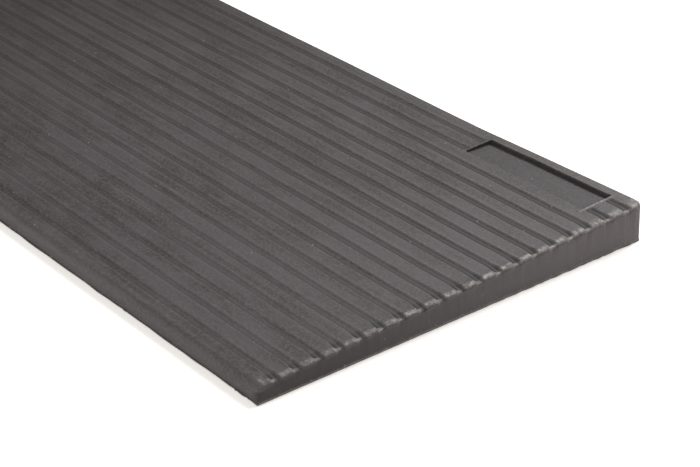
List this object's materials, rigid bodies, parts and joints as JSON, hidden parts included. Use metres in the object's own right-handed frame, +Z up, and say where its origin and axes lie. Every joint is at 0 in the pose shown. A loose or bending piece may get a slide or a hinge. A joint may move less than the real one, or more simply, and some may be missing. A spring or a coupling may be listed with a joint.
{
  "type": "rubber threshold ramp",
  "caption": "Portable wheelchair ramp: a low solid rubber wedge with moulded cross ribs and a shallow blank recess near one end of its heel.",
  "frame": {"origin": "middle of the underside, on the floor", "axes": "+X across the doorway along the ribs, towards the end with the recess; +Y uphill towards the heel and the sill; +Z up"},
  "size_m": [0.9, 0.3, 0.0258],
  "materials": {
    "moulded_rubber": "matte, as moulded, with a faint grey bloom"
  },
  "bodies": {
    "root": {"ramp_body": "moulded_rubber"}
  },
  "joints": []
}
